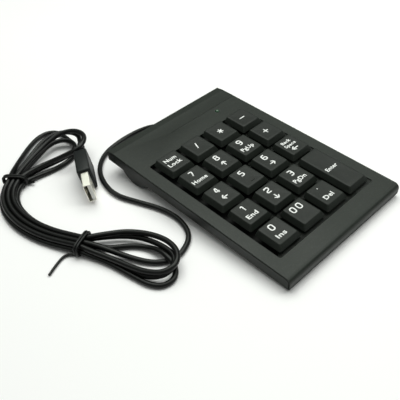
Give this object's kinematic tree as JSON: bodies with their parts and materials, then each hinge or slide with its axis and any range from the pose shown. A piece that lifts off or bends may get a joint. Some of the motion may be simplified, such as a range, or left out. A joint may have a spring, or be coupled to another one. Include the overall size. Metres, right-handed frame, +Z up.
{
  "type": "numeric keypad",
  "caption": "Slim numeric keypad with sprung square keys, a tall enter key, a raised round bar under the back edge and a tied USB lead.",
  "frame": {"origin": "on the table, at the middle of the keypad's own footprint", "axes": "+X to the user's right, +Y to the back edge where the lamp and the lead are, +Z up from the table"},
  "size_m": [0.1649, 0.2053, 0.0186],
  "materials": {
    "case_plastic": "fine matt texture, charcoal",
    "key_plastic": "matt, charcoal, white legends",
    "inner_plastic": "plain black",
    "dome_rubber": "milky silicone",
    "film": "clear film with silver print",
    "board": "green lacquer",
    "chip": "black blob",
    "steel": "zinc plated",
    "lamp_green": "tinted clear green",
    "foot_rubber": "matt black",
    "cord_jacket": "satin black",
    "tie_plastic": "black, coated wire",
    "plated_steel": "nickel plated sheet",
    "tongue_white": "plain white"
  },
  "bodies": {
    "case": {"top_cover": "case_plastic", "bottom_cover": "case_plastic", "key_guide": "inner_plastic", "film_lower": "film", "film_spacer": "film", "film_upper": "film", "controller_board": "board", "controller_chip": "chip", "clamp_bar": "steel", "led_lens": "lamp_green", "case_screws": "steel", "inner_screws": "steel", "front_feet": "foot_rubber", "rear_strips": "foot_rubber", "strain_relief": "cord_jacket", "inner_lead": "cord_jacket", "cord_lead": "cord_jacket", "cord_hank": "cord_jacket", "hank_ties": "tie_plastic", "usb_grip": "cord_jacket", "usb_shell": "plated_steel", "usb_tongue": "tongue_white", "dome_num_lock": "dome_rubber", "dome_divide": "dome_rubber", "dome_multiply": "dome_rubber", "dome_subtract": "dome_rubber", "dome_7": "dome_rubber", "dome_8": "dome_rubber", "dome_9": "dome_rubber", "dome_add": "dome_rubber", "dome_4": "dome_rubber", "dome_5": "dome_rubber", "dome_6": "dome_rubber", "dome_backspace": "dome_rubber", "dome_1": "dome_rubber", "dome_2": "dome_rubber", "dome_3": "dome_rubber", "dome_0": "dome_rubber", "dome_00": "dome_rubber", "dome_decimal": "dome_rubber", "dome_enter": "dome_rubber"},
    "key_num_lock": {"key_num_lock": "key_plastic"},
    "key_divide": {"key_divide": "key_plastic"},
    "key_multiply": {"key_multiply": "key_plastic"},
    "key_subtract": {"key_subtract": "key_plastic"},
    "key_7": {"key_7": "key_plastic"},
    "key_8": {"key_8": "key_plastic"},
    "key_9": {"key_9": "key_plastic"},
    "key_add": {"key_add": "key_plastic"},
    "key_4": {"key_4": "key_plastic"},
    "key_5": {"key_5": "key_plastic"},
    "key_6": {"key_6": "key_plastic"},
    "key_backspace": {"key_backspace": "key_plastic"},
    "key_1": {"key_1": "key_plastic"},
    "key_2": {"key_2": "key_plastic"},
    "key_3": {"key_3": "key_plastic"},
    "key_0": {"key_0": "key_plastic"},
    "key_00": {"key_00": "key_plastic"},
    "key_decimal": {"key_decimal": "key_plastic"},
    "key_enter": {"key_enter": "key_plastic"}
  },
  "joints": [
    {"name": "press_num_lock", "type": "slide", "parent": "case", "child": "key_num_lock", "axis": [0, 0.0576, -0.9983], "range_m": [0, 0.0024], "stiffness_N_per_m": 150, "springref_m": -0.0013, "deforming": ["dome_num_lock"]},
    {"name": "press_divide", "type": "slide", "parent": "case", "child": "key_divide", "axis": [0, 0.0576, -0.9983], "range_m": [0, 0.0024], "stiffness_N_per_m": 150, "springref_m": -0.0013, "deforming": ["dome_divide"]},
    {"name": "press_multiply", "type": "slide", "parent": "case", "child": "key_multiply", "axis": [0, 0.0576, -0.9983], "range_m": [0, 0.0024], "stiffness_N_per_m": 150, "springref_m": -0.0013, "deforming": ["dome_multiply"]},
    {"name": "press_subtract", "type": "slide", "parent": "case", "child": "key_subtract", "axis": [0, 0.0576, -0.9983], "range_m": [0, 0.0024], "stiffness_N_per_m": 150, "springref_m": -0.0013, "deforming": ["dome_subtract"]},
    {"name": "press_7", "type": "slide", "parent": "case", "child": "key_7", "axis": [0, 0.0576, -0.9983], "range_m": [0, 0.0024], "stiffness_N_per_m": 150, "springref_m": -0.0013, "deforming": ["dome_7"]},
    {"name": "press_8", "type": "slide", "parent": "case", "child": "key_8", "axis": [0, 0.0576, -0.9983], "range_m": [0, 0.0024], "stiffness_N_per_m": 150, "springref_m": -0.0013, "deforming": ["dome_8"]},
    {"name": "press_9", "type": "slide", "parent": "case", "child": "key_9", "axis": [0, 0.0576, -0.9983], "range_m": [0, 0.0024], "stiffness_N_per_m": 150, "springref_m": -0.0013, "deforming": ["dome_9"]},
    {"name": "press_add", "type": "slide", "parent": "case", "child": "key_add", "axis": [0, 0.0576, -0.9983], "range_m": [0, 0.0024], "stiffness_N_per_m": 150, "springref_m": -0.0013, "deforming": ["dome_add"]},
    {"name": "press_4", "type": "slide", "parent": "case", "child": "key_4", "axis": [0, 0.0576, -0.9983], "range_m": [0, 0.0024], "stiffness_N_per_m": 150, "springref_m": -0.0013, "deforming": ["dome_4"]},
    {"name": "press_5", "type": "slide", "parent": "case", "child": "key_5", "axis": [0, 0.0576, -0.9983], "range_m": [0, 0.0024], "stiffness_N_per_m": 150, "springref_m": -0.0013, "deforming": ["dome_5"]},
    {"name": "press_6", "type": "slide", "parent": "case", "child": "key_6", "axis": [0, 0.0576, -0.9983], "range_m": [0, 0.0024], "stiffness_N_per_m": 150, "springref_m": -0.0013, "deforming": ["dome_6"]},
    {"name": "press_backspace", "type": "slide", "parent": "case", "child": "key_backspace", "axis": [0, 0.0576, -0.9983], "range_m": [0, 0.0024], "stiffness_N_per_m": 150, "springref_m": -0.0013, "deforming": ["dome_backspace"]},
    {"name": "press_1", "type": "slide", "parent": "case", "child": "key_1", "axis": [0, 0.0576, -0.9983], "range_m": [0, 0.0024], "stiffness_N_per_m": 150, "springref_m": -0.0013, "deforming": ["dome_1"]},
    {"name": "press_2", "type": "slide", "parent": "case", "child": "key_2", "axis": [0, 0.0576, -0.9983], "range_m": [0, 0.0024], "stiffness_N_per_m": 150, "springref_m": -0.0013, "deforming": ["dome_2"]},
    {"name": "press_3", "type": "slide", "parent": "case", "child": "key_3", "axis": [0, 0.0576, -0.9983], "range_m": [0, 0.0024], "stiffness_N_per_m": 150, "springref_m": -0.0013, "deforming": ["dome_3"]},
    {"name": "press_0", "type": "slide", "parent": "case", "child": "key_0", "axis": [0, 0.0576, -0.9983], "range_m": [0, 0.0024], "stiffness_N_per_m": 150, "springref_m": -0.0013, "deforming": ["dome_0"]},
    {"name": "press_00", "type": "slide", "parent": "case", "child": "key_00", "axis": [0, 0.0576, -0.9983], "range_m": [0, 0.0024], "stiffness_N_per_m": 150, "springref_m": -0.0013, "deforming": ["dome_00"]},
    {"name": "press_decimal", "type": "slide", "parent": "case", "child": "key_decimal", "axis": [0, 0.0576, -0.9983], "range_m": [0, 0.0024], "stiffness_N_per_m": 150, "springref_m": -0.0013, "deforming": ["dome_decimal"]},
    {"name": "press_enter", "type": "slide", "parent": "case", "child": "key_enter", "axis": [0, 0.0576, -0.9983], "range_m": [0, 0.0024], "stiffness_N_per_m": 150, "springref_m": -0.0013, "deforming": ["dome_enter"]}
  ]
}
